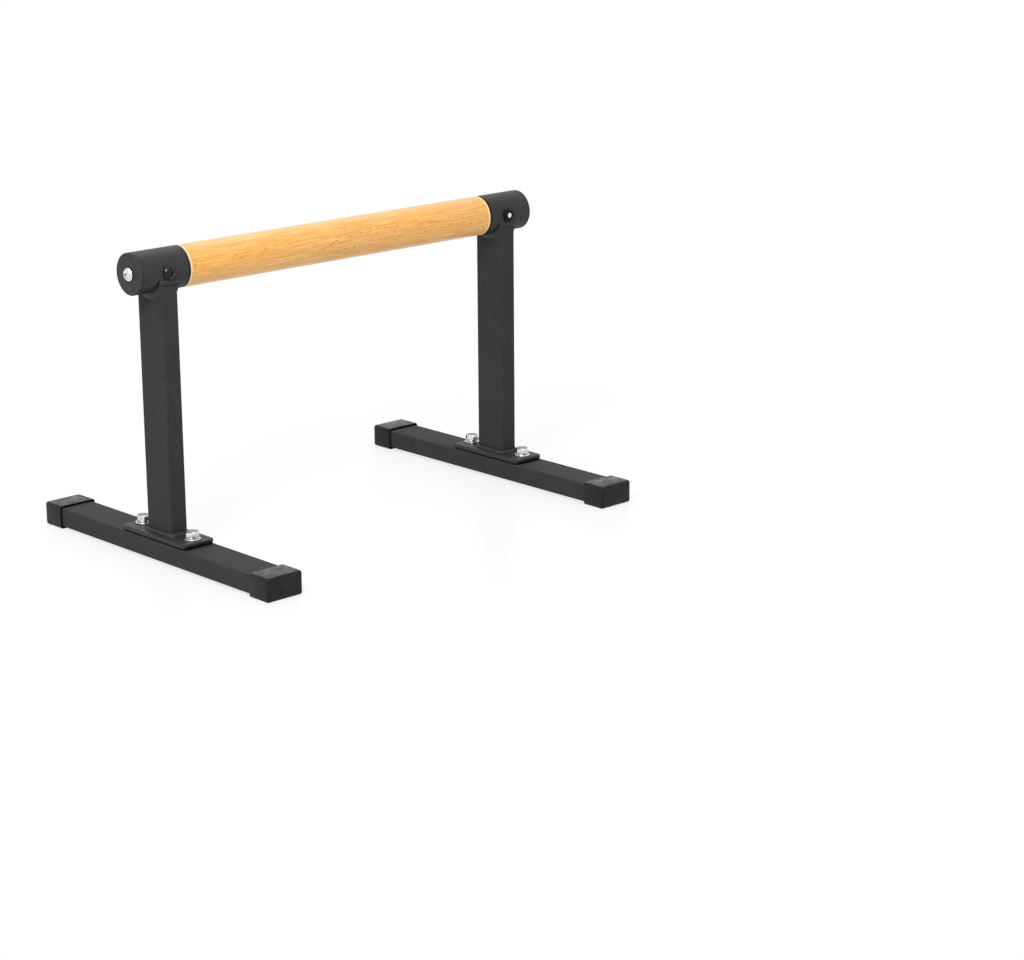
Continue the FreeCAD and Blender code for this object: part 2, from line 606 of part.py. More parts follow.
def check_and_write():
    """Stops at any failed feature or bad solid, then writes one file for each piece."""
    doc.recompute()
    for thing in doc.Objects:
        if "Invalid" in thing.State or "Error" in thing.State:
            raise ValueError(f"{thing.Label} failed: {thing.State}")
    for body in bodies:
        shape = body.Shape
        if shape.isNull() or not shape.isValid() or len(shape.Solids) != 1:
            raise ValueError(f"{body.Label} is not one valid solid")
    os.makedirs("parts", exist_ok=True)
    for body in bodies:
        body.Shape.exportStep(f"parts/{body.Label}.step")
    print(f"{len(bodies)} pieces written")


sizes = fill_sheet("Sizes", SIZES)
places = fill_sheet("Places", [(alias, f"={formula}", "worked out") for alias, formula in PLACES])
make_grip()
for end_name, end_sign, end_rotation in ENDS:
    make_end(end_name, end_sign, end_rotation)
check_and_write()
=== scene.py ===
"""The finished looks of a parallette bar: beech grip, powder-coated steel, zinc fasteners and rubber caps.

Metres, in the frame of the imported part: +X along the grip, +Y along the feet, +Z up.
"""
import math

import bpy
from mathutils import Matrix, Vector, noise


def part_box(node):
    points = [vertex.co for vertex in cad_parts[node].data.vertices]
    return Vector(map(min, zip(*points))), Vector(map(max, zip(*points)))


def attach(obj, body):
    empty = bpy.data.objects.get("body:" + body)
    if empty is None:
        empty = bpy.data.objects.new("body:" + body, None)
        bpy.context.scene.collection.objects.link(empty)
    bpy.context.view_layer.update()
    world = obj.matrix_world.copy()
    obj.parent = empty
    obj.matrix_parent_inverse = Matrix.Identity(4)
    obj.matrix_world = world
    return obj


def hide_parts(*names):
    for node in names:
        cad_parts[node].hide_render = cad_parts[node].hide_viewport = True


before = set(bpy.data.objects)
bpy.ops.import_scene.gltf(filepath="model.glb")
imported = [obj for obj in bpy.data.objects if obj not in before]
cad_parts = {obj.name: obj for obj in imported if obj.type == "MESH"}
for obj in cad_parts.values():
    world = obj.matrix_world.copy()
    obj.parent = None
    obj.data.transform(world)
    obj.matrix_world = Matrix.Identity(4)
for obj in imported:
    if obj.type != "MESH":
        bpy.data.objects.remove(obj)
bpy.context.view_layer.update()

BODY = "root"
MM = 0.001
ENDS = ("left", "right")
SIDES = ("front", "back")
AXES = {"X": Vector((1, 0, 0)), "Y": Vector((0, 1, 0)), "Z": Vector((0, 0, 1))}

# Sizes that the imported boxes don't show: grip, sleeves and discs
GRIP_CHAMFER = 1.0 * MM
GRIP_EASE = 0.25 * MM
TENON_PLAY = 0.1 * MM
SLEEVE_WALL = 2.5 * MM
SLEEVE_ROUND = 0.6 * MM
SLEEVE_MOUTH_ROUND = 1.3 * MM
SLEEVE_BORE_ROUND = 0.2 * MM
DISC_BORE = 4.5 * MM
DISC_ROUND = 0.9 * MM

# Sizes of tubes, plates and caps
TUBE_WALL = 2.0 * MM
TUBE_CORNER = 2.0 * MM
TUBE_INNER_CORNER = 1.0 * MM
PLATE_CORNER = 4.0 * MM
PLATE_EDGE = 1.0 * MM
PLATE_TOP_INSET = 2.0 * MM
PLATE_UNDERSIDE = 2.5 * MM
PLATE_BOTTOM_INSET = 3.75 * MM
CAP_CORNER = 3.0 * MM
CAP_EDGE = 3.4 * MM
CAP_LIP = 0.6 * MM
CAP_MOUTH_SLOPE = 2.8 * MM
CAP_END = 2.5 * MM
CAP_FIT = 0.1 * MM

# Sizes of screws, bolts, washers and nuts
THREAD_RADIUS = {"base": 4.0 * MM, "end": 4.0 * MM, "cross": 3.0 * MM}
THREAD_PLAY = 0.1 * MM
TIP_CHAMFER = 0.35 * MM
DIMPLE_RADIUS = 0.9 * MM
DIMPLE_DEPTH = 1.0 * MM
DIMPLE_TIP = 0.3
HEAD_RIM = 1.0 * MM
HEAD_UNDERCUT = (1.6 * MM, 0.8 * MM)
HEAD_CROWN = 0.3 * MM
HEAD_HEIGHT = {"base": 5.3 * MM, "end": 4.4 * MM, "cross": 3.4 * MM}
HEAD_RISE = {"end": 0.0, "cross": 1.1 * MM}
SOCKET_FLATS = {"end": 5.0 * MM, "cross": 4.0 * MM}
SOCKET_DEPTH = {"end": 2.6 * MM, "cross": 2.2 * MM}
SOCKET_EASE = 0.2 * MM
SOCKET_CONE = 0.5 * MM
SOCKET_CONE_TIP = 0.2
END_SCREW_TURN = math.radians(12)
BOLT_CORNER = 0.35 * MM
BOLT_BEVEL_INSET = 0.3 * MM
BOLT_BEVEL_SLOPE = math.tan(math.radians(30))
# Share of the bolt head's top radius where the duller zinc with a painted dark reflection starts
DARK_TOP_SHARE = 0.97
WASHER_EDGE = 0.3 * MM
WASHER_BORE = 4.5 * MM
SPRING_EDGE = 0.3 * MM
SPRING_SLIT = 1.5 * MM
FLANGE_HEIGHT = 3.0 * MM
FLANGE_RIM = 0.8 * MM
BARREL_RADIUS = 4.5 * MM
NUT_MOUTH = 0.5 * MM

# Weld beads: their reach over the sleeve and down the post, and their bulge, at the post's ends and sides
SADDLE_OVER = {"end": 3.0 * MM, "side": 1.4 * MM}
SADDLE_DOWN = {"end": 7.0 * MM, "side": 5.6 * MM}
SADDLE_BULGE = {"end": 0.9 * MM, "side": 1.8 * MM}
FOOT_LEG = 3.2 * MM
FOOT_BULGE = 0.9 * MM
CORNER_EAR = 1.0 * MM
CORNER_TAPER = 0.5

# Section, ripples and unevenness of the weld beads
BEAD_FULLNESS = 0.7
BEAD_SAG = 1.3
BEAD_ROOT = 0.8 * MM
BEAD_EMBED = 0.1 * MM
BEAD_PITCH = 4.6 * MM
BEAD_RIPPLE = 0.16
BEAD_CRESCENT = 0.45
BEAD_UNEVEN = 0.35
BEAD_WANDER = 0.2
BEAD_WANDER_LENGTH = 9 * MM
BEAD_STEP = 0.3 * MM
BEAD_FACE_STEPS = 14

# Fineness of the meshes, and the angle from which an edge is sharp
ROUND_SEGMENTS = 144
ARC_STEPS = 8
DOME_STEPS = 14
FLAT_STEPS = 6
COPE_STEP = 1.0 * MM
SHARP_ANGLE = math.radians(32)


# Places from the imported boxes

def middle(node):
    low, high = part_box(node)
    return (low + high) / 2


def extent(node):
    low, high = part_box(node)
    return high - low


BAR_RADIUS = extent("wooden_grip").z / 2
BAR_HEIGHT = middle("wooden_grip").z
SLEEVE_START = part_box("sleeve_right")[0].x
TENON_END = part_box("wooden_grip")[1].x


# Outlines and profiles

def rounded(corners, closed=True):
    """Turns (x, y, radius) corners into points, with an arc at each corner that has a radius."""
    points = []
    count = len(corners)
    for index, (x, y, radius) in enumerate(corners):
        here = Vector((x, y))
        end_of_open_path = not closed and index in (0, count - 1)
        if radius == 0 or end_of_open_path:
            points.append(here)
            continue
        back = (Vector(corners[index - 1][:2]) - here).normalized()
        ahead = (Vector(corners[(index + 1) % count][:2]) - here).normalized()
        half_angle = back.angle(ahead) / 2
        centre = here + (back + ahead).normalized() * radius / math.sin(half_angle)
        spoke = here + back * radius / math.tan(half_angle) - centre
        last_spoke = here + ahead * radius / math.tan(half_angle) - centre
        turn = -spoke.angle_signed(last_spoke)
        for step in range(ARC_STEPS + 1):
            points.append(centre + Matrix.Rotation(turn * step / ARC_STEPS, 2) @ spoke)
    return points


def divided(points, step):
    """Adds points to a closed outline so that none of its straight runs is longer than a step."""
    result = []
    for here, there in zip(points, points[1:] + points[:1]):
        parts = max(1, math.ceil((there - here).length / step))
        result += [here.lerp(there, part / parts) for part in range(parts)]
    return result


def rectangle(width, height, corner):
    x, y = width / 2, height / 2
    return rounded([(x, -y, corner), (x, y, corner), (-x, y, corner), (-x, -y, corner)])


def hexagon(flats, corner):
    """A hexagon with rounded corners and its flats divided evenly."""
    reach = flats / math.sqrt(3)
    angles = [math.radians(60 * number) for number in range(6)]
    points = rounded([(reach * math.cos(angle), reach * math.sin(angle), corner) for angle in angles])
    return divided(points, reach / FLAT_STEPS)


def evenly_round():
    return [2 * math.pi * number / ROUND_SEGMENTS for number in range(ROUND_SEGMENTS)]


def circle(radius, height, angles):
    return [Vector((radius * math.cos(angle), radius * math.sin(angle), height)) for angle in angles]


def raised(outline, height):
    return [Vector((point.x, point.y, height)) for point in outline]


def dome(outer, inner, low, high):
    """A quarter of an ellipse, from upright at the outer radius to level at the inner one."""
    points = []
    for step in range(DOME_STEPS + 1):
        angle = math.pi / 2 * step / DOME_STEPS
        points.append((inner + (outer - inner) * math.cos(angle), low + (high - low) * math.sin(angle)))
    return points


def ball(outer, inner, low, high):
    """Part of a sphere that is centred on the axis, from the outer radius to the inner one."""
    centre = (inner ** 2 + high ** 2 - outer ** 2 - low ** 2) / (2 * (high - low))
    radius = math.hypot(outer, low - centre)
    start, end = math.asin(outer / radius), math.asin(inner / radius)
    points = []
    for step in range(DOME_STEPS + 1):
        angle = start + (end - start) * step / DOME_STEPS
        points.append((radius * math.sin(angle), centre + radius * math.cos(angle)))
    return points


def turned(profile, angles=None):
    """The loops of a lathe-turned form whose profile gives radius and height."""
    return [circle(radius, height, angles or evenly_round()) for radius, height in profile]


# Meshes

def loft(name, loops, ring=False, place=Matrix(), band_materials=None):
    """Skins loops of equal length. A ring joins the last loop to the first; others have closed ends."""
    size = len(loops[0])
    vertices = [place @ Vector(point) for loop in loops for point in loop]
    bands = len(loops) if ring else len(loops) - 1
    faces = []
    numbers = []
    for band in range(bands):
        lower = band * size
        upper = (band + 1) % len(loops) * size
        for index in range(size):
            following = (index + 1) % size
            faces.append((lower + index, lower + following, upper + following, upper + index))
            numbers.append(band_materials[band] if band_materials else 0)
    if not ring:
        last = (len(loops) - 1) * size
        faces += [tuple(range(size))[::-1], tuple(range(last, last + size))]
        numbers += [numbers[0], numbers[-1]]
    return new_mesh(name, vertices, faces, numbers)


def new_mesh(name, vertices, faces, material_numbers=None):
    """Makes an object with smooth shading, apart from its sharp edges, and outward faces."""
    mesh = bpy.data.meshes.new(name)
    mesh.from_pydata(vertices, [], faces)
    if material_numbers:
        mesh.polygons.foreach_set("material_index", material_numbers)
    mesh.validate()
    mesh.shade_smooth()
    mesh.set_sharp_from_angle(angle=SHARP_ANGLE)
    piece = bpy.data.objects.new(name, mesh)
    bpy.context.scene.collection.objects.link(piece)
    turn_faces_out(mesh)
    return piece


def turn_faces_out(mesh):
    """Flips a closed mesh whose faces point inwards, which is one with a negative volume."""
    volume = 0
    for polygon in mesh.polygons:
        corners = [mesh.vertices[number].co for number in polygon.vertices]
        for second, third in zip(corners[1:], corners[2:]):
            volume += corners[0].dot(second.cross(third))
    if volume < 0:
        mesh.flip_normals()


def dress(piece, node, materials):
    """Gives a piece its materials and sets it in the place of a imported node."""
    for material in materials:
        piece.data.materials.append(material)
    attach(piece, BODY)
    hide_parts(node)


def along(direction, start, clockwise=0.0):
    """The place of a form made along Z that points in a direction from a start."""
    turn = AXES["Z"].rotation_difference(Vector(direction)).to_matrix().to_4x4()
    return Matrix.Translation(start) @ turn @ Matrix.Rotation(clockwise, 4, "Z")


# Materials

# Places of a colour mixer's sockets, since those for other kinds of data share their names
MIX_FIRST, MIX_SECOND, MIX_RESULT = 6, 7, 2
CREVICE_SAMPLES = 8

# Painted shade in corners, from how closed in a spot is: how far off a surface counts, its depth, and the
# openness where it is full and gone
CORNER_SHADE = {"reach": 4 * MM, "depth": 0.95, "closed": 0.42, "open_air": 0.93}
BEAD_SHADE = {"reach": 4 * MM, "depth": 0.8, "closed": 0.42, "open_air": 0.93}
PLATE_SHADE = {"reach": 7 * MM, "depth": 0.88, "closed": 0.55, "open_air": 0.94}
CAP_SHADE = {"reach": 5 * MM, "depth": 0.95, "closed": 0.55, "open_air": 0.97}

# Painted shade at the mouth of a sleeve: where it starts to fade and where it is gone
MOUTH_SHADE = (1.5 * MM, 2.5 * MM)

# Wood: the pith's place from the grip's axis and its lean, the rings' sway, and where the flecks face
PITH_OFFSET = (55 * MM, 110 * MM)
PITH_LEAN = (0, math.radians(1.4), math.radians(0.8))
RING_SCALE = 112.0
RING_SWAY = (0, 14 * MM, 14 * MM)
FLECK_SIDE = (0, -0.97, -0.24)

# Width of the painted highlight, a pale rim at each end of the bare wood, by the sign of X
GRIP_RIM_HIGHLIGHT = {-1: 1.4 * MM, 1: 2.6 * MM}


class Recipe:
    """A material's node tree, with short calls for what the materials share."""

    def __init__(self, name):
        self.material = bpy.data.materials.new(name)
        self.material.use_nodes = True
        self.tree = self.material.node_tree
        self.shader = self.tree.nodes["Principled BSDF"]
        self.place = self.add("ShaderNodeTexCoord").outputs["Object"]

    def add(self, kind, settings=None, **inputs):
        """Adds a node with settings of its own and with inputs by name."""
        node = self.tree.nodes.new(kind)
        for name, value in (settings or {}).items():
            setattr(node, name, value)
        for name, value in inputs.items():
            self.feed(node.inputs[name.replace("_", " ")], value)
        return node

    def feed(self, socket, value):
        """Links another node's output to a socket, or sets the socket's own value."""
        if isinstance(value, bpy.types.NodeSocket):
            self.tree.links.new(value, socket)
        else:
            socket.default_value = value

    def set(self, **inputs):
        for name, value in inputs.items():
            self.feed(self.shader.inputs[name.replace("_", " ")], value)

    def scaled(self, x, y, z):
        """The place, counted in features per metre along each axis."""
        return self.add("ShaderNodeMapping", Vector=self.place, Scale=(x, y, z)).outputs["Vector"]

    def component(self, axis, vector):
        return self.add("ShaderNodeSeparateXYZ", Vector=vector).outputs[axis]

    def noise(self, vector, scale=1.0, detail=3.0, roughness=0.5, distortion=0.0):
        node = self.add("ShaderNodeTexNoise", Vector=vector, Scale=scale, Detail=detail,
                        Roughness=roughness, Distortion=distortion)
        return node.outputs["Fac"]

    def maths(self, operation, first, second=0.0):
        node = self.add("ShaderNodeMath", {"operation": operation})
        self.feed(node.inputs[0], first)
        self.feed(node.inputs[1], second)
        return node.outputs["Value"]

    def vector_maths(self, operation, *vectors):
        node = self.add("ShaderNodeVectorMath", {"operation": operation})
        for socket, vector in zip(node.inputs, vectors):
            self.feed(socket, vector)
        return node

    def spread(self, value, low, high, out_low=0.0, out_high=1.0):
        """Maps a value's range on to another, with the ends held and a soft start and stop."""
        node = self.add("ShaderNodeMapRange", {"interpolation_type": "SMOOTHSTEP"}, Value=value,
                        From_Min=low, From_Max=high, To_Min=out_low, To_Max=out_high)
        return node.outputs["Result"]

    def mix(self, factor, first, second):
        node = self.add("ShaderNodeMix", {"data_type": "RGBA"}, Factor=factor)
        self.feed(node.inputs[MIX_FIRST], first)
        self.feed(node.inputs[MIX_SECOND], second)
        return node.outputs[MIX_RESULT]

    def layer(self, tone, pattern, start, full, strength, tint):
        """Lays a tint on a tone, from none where a pattern starts to a strength where it is full."""
        return self.mix(self.spread(pattern, start, full, 0.0, strength), tone, tint)

    def painted_crevice_shade(self, reach, depth, closed, open_air):
        """Painted shade: how dark a spot is painted, none in the open and a depth where other surfaces
        close it in.
        """
        node = self.add("ShaderNodeAmbientOcclusion", {"samples": CREVICE_SAMPLES}, Distance=reach)
        return self.spread(node.outputs["AO"], closed, open_air, depth, 0.0)

    def bump(self, height, distance, normal=None):
        node = self.add("ShaderNodeBump", Height=height, Distance=distance, Strength=1.0)
        if normal:
            self.feed(node.inputs["Normal"], normal)
        return node.outputs["Normal"]


def colour(red, green, blue):
    """A colour from the 0 to 255 values that a picture shows, as linear light."""
    channels = [value / 255 for value in (red, green, blue)]
    linear = [value / 12.92 if value <= 0.04045 else ((value + 0.055) / 1.055) ** 2.4 for value in channels]
    return (*linear, 1.0)


def make_beech():
    """Satin beech: fine growth rings cut along the grip, long fibres and short brown ray flecks."""
    recipe = Recipe("beech")
    fibres = recipe.noise(recipe.scaled(22, 640, 640), detail=5, roughness=0.66)
    patches = recipe.noise(recipe.scaled(7, 45, 45), detail=2)
    glints = recipe.noise(recipe.scaled(26, 760, 760), detail=4, roughness=0.62)
    streaks = recipe.noise(recipe.scaled(110, 900, 900), detail=3, roughness=0.6)
    layers = (
        # pattern, where it starts and is full, strength, tint
        (beech_rings(recipe), 0.3, 1.0, 0.4, colour(205, 146, 65)),
        (fibres, 0.42, 0.62, 0.72, colour(206, 143, 64)),
        (patches, 0.4, 0.65, 0.55, colour(217, 155, 60)),
        (glints, 0.5, 0.66, 0.5, colour(240, 200, 138)),
        (streaks, 0.52, 0.68, 0.55, colour(196, 126, 56)),
    )
    tone = colour(219, 165, 84)
    for layer in layers:
        tone = recipe.layer(tone, *layer)
    tone = recipe.mix(beech_flecks(recipe), tone, colour(172, 92, 18))
    grain = recipe.maths("ADD", fibres, recipe.maths("MULTIPLY", streaks, 0.6))
    recipe.set(Base_Color=beech_ends(recipe, tone), Roughness=recipe.spread(fibres, 0.3, 0.7, 0.31, 0.43),
               Specular_IOR_Level=0.5, Sheen_Weight=0.4, Sheen_Roughness=0.4,
               Normal=recipe.bump(grain, 0.03 * MM))
    return recipe.material


def beech_rings(recipe):
    """Growth rings round a pith that lies outside the grip."""
    sway = recipe.noise(recipe.scaled(5, 18, 18), detail=2)
    both_ways = recipe.add("ShaderNodeCombineXYZ", Y=sway, Z=sway).outputs["Vector"]
    swaying = recipe.vector_maths("MULTIPLY_ADD", both_ways, RING_SWAY, recipe.place)
    pith = recipe.add("ShaderNodeMapping", Vector=swaying.outputs["Vector"], Rotation=PITH_LEAN,
                      Location=(0, PITH_OFFSET[0], PITH_OFFSET[1] - BAR_HEIGHT))
    shape = {"wave_type": "RINGS", "rings_direction": "X", "wave_profile": "SAW"}
    rings = recipe.add("ShaderNodeTexWave", shape, Vector=pith.outputs["Vector"], Scale=RING_SCALE,
                       Distortion=0.5, Detail=2.0, Detail_Scale=1.4)
    return rings.outputs["Fac"]


def beech_flecks(recipe):
    """Short ray flecks in loose groups, on the two opposite sides where the rays come to the surface."""
    cells = recipe.add("ShaderNodeTexVoronoi", {"feature": "F1"}, Vector=recipe.scaled(215, 470, 470),
                       Scale=1.0, Randomness=1.0)
    chance = recipe.add("ShaderNodeSeparateColor", Color=cells.outputs["Color"]).outputs["Red"]
    spots = recipe.maths("MULTIPLY", recipe.spread(cells.outputs["Distance"], 0.5, 0.18),
                         recipe.spread(chance, 0.66, 0.78))
    from_axis = recipe.add("ShaderNodeMapping", Vector=recipe.place, Location=(0, 0, -BAR_HEIGHT))
    flat = recipe.vector_maths("MULTIPLY", from_axis.outputs["Vector"], (0, 1, 1))
    outward = recipe.vector_maths("NORMALIZE", flat.outputs["Vector"])
    facing = recipe.vector_maths("DOT_PRODUCT", outward.outputs["Vector"], FLECK_SIDE)
    sides = recipe.spread(recipe.maths("ABSOLUTE", facing.outputs["Value"]), 0.5, 0.9)
    groups = recipe.spread(recipe.noise(recipe.scaled(28, 120, 120), detail=1), 0.48, 0.6, 0.06, 0.8)
    return recipe.maths("MULTIPLY", recipe.maths("MULTIPLY", spots, sides), groups)


def beech_ends(recipe, tone):
    """Adds a painted highlight, a pale rim at each end of the bare wood, and painted shade in the groove
    between it and the sleeve.
    """
    across = recipe.component("X", recipe.place)
    groove = SLEEVE_START - GRIP_CHAMFER
    for sign, width in GRIP_RIM_HIGHLIGHT.items():
        towards_end = recipe.maths("MULTIPLY", across, sign)
        start, full = groove - width, groove - width / 2
        # painted highlight: a pale rim just inside each groove
        tone = recipe.layer(tone, towards_end, start, full, 0.65, colour(255, 228, 180))
    either_end = recipe.maths("ABSOLUTE", across)
    # painted shade: near black in the groove by the sleeve's mouth
    return recipe.layer(tone, either_end, groove, groove + GRIP_EASE, 0.95, colour(14, 9, 6))


def make_powder_coat(name, smooth, rough, waves, corner_shade=CORNER_SHADE, on_sleeve=False):
    """Black powder coat: a fine pebbled texture, low waves where it is thick, and painted shade in corners.
    """
    recipe = Recipe(name)
    pebbles = recipe.noise(recipe.place, scale=1700, detail=2, roughness=0.6)
    dust = recipe.noise(recipe.place, scale=1300, detail=2)
    specks = recipe.noise(recipe.place, scale=620, detail=3, roughness=0.65)
    peel = recipe.noise(recipe.place, scale=420, detail=2)
    sagging = recipe.noise(recipe.place, scale=150, detail=3, roughness=0.55)
    clouds = recipe.noise(recipe.place, scale=30, detail=4, roughness=0.6)
    tone = recipe.layer(colour(44, 44, 44), clouds, 0.35, 0.65, 1.0, colour(51, 51, 50))
    tone = recipe.layer(tone, specks, 0.65, 0.35, 0.75, colour(31, 31, 31))
    tone = recipe.layer(tone, dust, 0.6, 0.76, 0.3, colour(80, 80, 78))
    # painted shade: the tone darkens where other surfaces close a spot in
    tone = recipe.mix(recipe.painted_crevice_shade(**corner_shade), tone, colour(6, 6, 6))
    # painted shade: the coat darkens towards the sleeve's mouth beside the wood
    if on_sleeve:
        across = recipe.maths("ABSOLUTE", recipe.component("X", recipe.place))
        full, none = (SLEEVE_START + reach for reach in MOUTH_SHADE)
        tone = recipe.layer(tone, across, none, full, 1.0, colour(5, 5, 5))
    height = recipe.maths("ADD", pebbles, recipe.maths("MULTIPLY", peel, 1.4))
    recipe.set(Base_Color=tone, Roughness=recipe.spread(clouds, 0.3, 0.7, smooth, rough),
               Specular_IOR_Level=0.22,
               Normal=recipe.bump(height, 0.04 * MM, normal=recipe.bump(sagging, waves)))
    return recipe.material


def make_rubber():
    """Moulded black rubber: a smooth dull skin with pale bloom, faint scuffs, dust and painted sheen on
    upper faces, and painted shade in corners.
    """
    recipe = Recipe("rubber")
    grain = recipe.noise(recipe.place, scale=2400, detail=2)
    lumps = recipe.noise(recipe.place, scale=700, detail=3)
    bloom = recipe.noise(recipe.place, scale=110, detail=5, roughness=0.7)
    scuffs = recipe.noise(recipe.scaled(90, 1100, 500), detail=2, roughness=0.7, distortion=0.6)
    smears = recipe.noise(recipe.scaled(140, 50, 50), detail=3, roughness=0.5, distortion=1.0)
    upward = recipe.component("Z", recipe.add("ShaderNodeNewGeometry").outputs["Normal"])
    # dust and painted sheen: a pale mottle only on faces that look up
    dust = recipe.maths("MULTIPLY", recipe.spread(smears, 0.34, 0.68, 0.1, 0.36),
                        recipe.spread(upward, 0.86, 0.99, 0.06, 1.0))
    tone = recipe.layer(colour(9, 9, 8), bloom, 0.4, 0.75, 1.0, colour(27, 25, 21))
    tone = recipe.layer(tone, scuffs, 0.58, 0.74, 0.4, colour(74, 71, 60))
    tone = recipe.mix(dust, tone, colour(82, 81, 77))
    # painted shade where other surfaces close a spot in
    tone = recipe.mix(recipe.painted_crevice_shade(**CAP_SHADE), tone, colour(4, 4, 4))
    height = recipe.maths("ADD", grain, recipe.maths("MULTIPLY", lumps, 1.2))
    recipe.set(Base_Color=tone, Roughness=recipe.spread(bloom, 0.38, 0.62, 0.14, 0.5),
               Specular_IOR_Level=0.21, Normal=recipe.bump(height, 0.025 * MM))
    return recipe.material


def make_zinc(name, pale, dull, smooth, rough):
    """Zinc plate with faint brushing and milky patches."""
    recipe = Recipe(name)
    brushing = recipe.noise(recipe.scaled(600, 600, 2600), detail=3)
    milk = recipe.noise(recipe.place, scale=330, detail=4, roughness=0.6)
    tone = recipe.layer(pale, milk, 0.35, 0.7, 1.0, dull)
    recipe.set(Base_Color=tone, Metallic=1.0, Roughness=recipe.spread(milk, 0.3, 0.7, smooth, rough),
               Normal=recipe.bump(brushing, 0.012 * MM))
    return recipe.material


def make_black_oxide(name, smooth, rough, specular):
    """Black fastener finish, worn a little paler in places."""
    recipe = Recipe(name)
    wear = recipe.noise(recipe.place, scale=420, detail=4, roughness=0.6)
    tone = recipe.layer(colour(9, 9, 10), wear, 0.5, 0.8, 1.0, colour(26, 26, 26))
    recipe.set(Base_Color=tone, Roughness=recipe.spread(wear, 0.3, 0.75, smooth, rough),
               Specular_IOR_Level=specular, Normal=recipe.bump(wear, 0.006 * MM))
    return recipe.material


def make_brass():
    """Plain turned brass with fine tool marks."""
    recipe = Recipe("brass")
    marks = recipe.noise(recipe.scaled(4000, 120, 120), detail=2)
    tone = recipe.mix(marks, colour(214, 178, 92), colour(188, 150, 70))
    recipe.set(Base_Color=tone, Metallic=1.0, Roughness=recipe.spread(marks, 0.3, 0.7, 0.25, 0.4),
               Normal=recipe.bump(marks, 0.01 * MM))
    return recipe.material


BEECH = make_beech()
POWDER_COAT = make_powder_coat("powder_coat", smooth=0.68, rough=0.78, waves=0.1 * MM)
SATIN_COAT = make_powder_coat("powder_coat_satin", smooth=0.44, rough=0.54, waves=0.1 * MM, on_sleeve=True)
THICK_COAT = make_powder_coat("powder_coat_thick", smooth=0.4, rough=0.52, waves=0.9 * MM, corner_shade=BEAD_SHADE)
PLATE_COAT = make_powder_coat("powder_coat_plate", smooth=0.38, rough=0.5, waves=1.3 * MM,
                              corner_shade=PLATE_SHADE)
RUBBER = make_rubber()
ZINC = make_zinc("zinc_plated", colour(230, 231, 232), colour(204, 205, 206), smooth=0.14, rough=0.26)
# a duller zinc for the bolt heads' tops, whose darker colour is a painted dark reflection
DARKENED_TOP_ZINC = make_zinc("zinc_top_painted_dark", colour(150, 150, 150), colour(118, 118, 118), smooth=0.3, rough=0.42)
BLACK_OXIDE = make_black_oxide("black_oxide", smooth=0.18, rough=0.24, specular=0.3)
DULL_OXIDE = make_black_oxide("black_oxide_dull", smooth=0.36, rough=0.5, specular=0.12)
BRASS = make_brass()


# Wooden grip

def make_grip():
    """The turned grip, with its shoulders and the tenons inside the sleeves."""
    tenon = BAR_RADIUS - SLEEVE_WALL - TENON_PLAY
    half = [(tenon, TENON_END, 0), (tenon, SLEEVE_START, 0),
            (BAR_RADIUS - GRIP_CHAMFER, SLEEVE_START, GRIP_EASE),
            (BAR_RADIUS, SLEEVE_START - GRIP_CHAMFER, GRIP_EASE)]
    mirrored = [(radius, -reach, ease) for radius, reach, ease in reversed(half)]
    profile = rounded(half + mirrored, closed=False)
    place = along(AXES["X"], (0, 0, BAR_HEIGHT))
    dress(loft("finished_grip", turned(profile), place=place), "wooden_grip", [BEECH])


# Sleeves and end discs

def make_sleeve(end):
    """A length of tube whose rim is rounder at its mouth, beside the wood."""
    node = f"sleeve_{end}"
    low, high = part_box(node)
    bore = BAR_RADIUS - SLEEVE_WALL
    low_round, high_round = SLEEVE_MOUTH_ROUND, SLEEVE_ROUND
    if end == "left":
        low_round, high_round = high_round, low_round
    profile = rounded([(bore, low.x, SLEEVE_BORE_ROUND), (BAR_RADIUS, low.x, low_round),
                       (BAR_RADIUS, high.x, high_round), (bore, high.x, SLEEVE_BORE_ROUND)])
    place = along(AXES["X"], (0, 0, BAR_HEIGHT))
    piece = loft(f"finished_{node}", turned(profile), ring=True, place=place)
    dress(piece, node, [SATIN_COAT])


def make_end_disc(end):
    node = f"end_disc_{end}"
    low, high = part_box(node)
    profile = rounded([(DISC_BORE, low.x, 0), (BAR_RADIUS, low.x, DISC_ROUND),
                       (BAR_RADIUS, high.x, DISC_ROUND), (DISC_BORE, high.x, 0)])
    place = along(AXES["X"], (0, 0, BAR_HEIGHT))
    piece = loft(f"finished_{node}", turned(profile), ring=True, place=place)
    dress(piece, node, [SATIN_COAT])


# Screws, bolts and nuts

def socket_screw_loops(family, head_radius, length):
    """A button head with a hexagon socket, seated at height 0, on a plain shank with a drilled tip."""
    shank = THREAD_RADIUS[family]
    height = HEAD_HEIGHT[family] + HEAD_RISE[family]
    socket = hexagon(SOCKET_FLATS[family], SOCKET_EASE)
    angles = [math.atan2(point.y, point.x) for point in socket]
    crown = SOCKET_FLATS[family] / math.sqrt(3) + HEAD_CROWN
    profile = [(DIMPLE_TIP * DIMPLE_RADIUS, DIMPLE_DEPTH - length), (DIMPLE_RADIUS, -length),
               (shank - TIP_CHAMFER, -length), (shank, TIP_CHAMFER - length), (shank, 0),
               (head_radius - HEAD_UNDERCUT[0], 0), (head_radius, HEAD_UNDERCUT[1])]
    profile += ball(head_radius, crown, HEAD_RIM, height)
    eased = [point * (1 + 2 * SOCKET_EASE / SOCKET_FLATS[family]) for point in socket]
    floor = height - SOCKET_DEPTH[family]
    cone_tip = [point * SOCKET_CONE_TIP for point in socket]
    return turned(profile, angles) + [raised(eased, height), raised(socket, height - SOCKET_EASE),
                                      raised(socket, floor), raised(cone_tip, floor - SOCKET_CONE)]


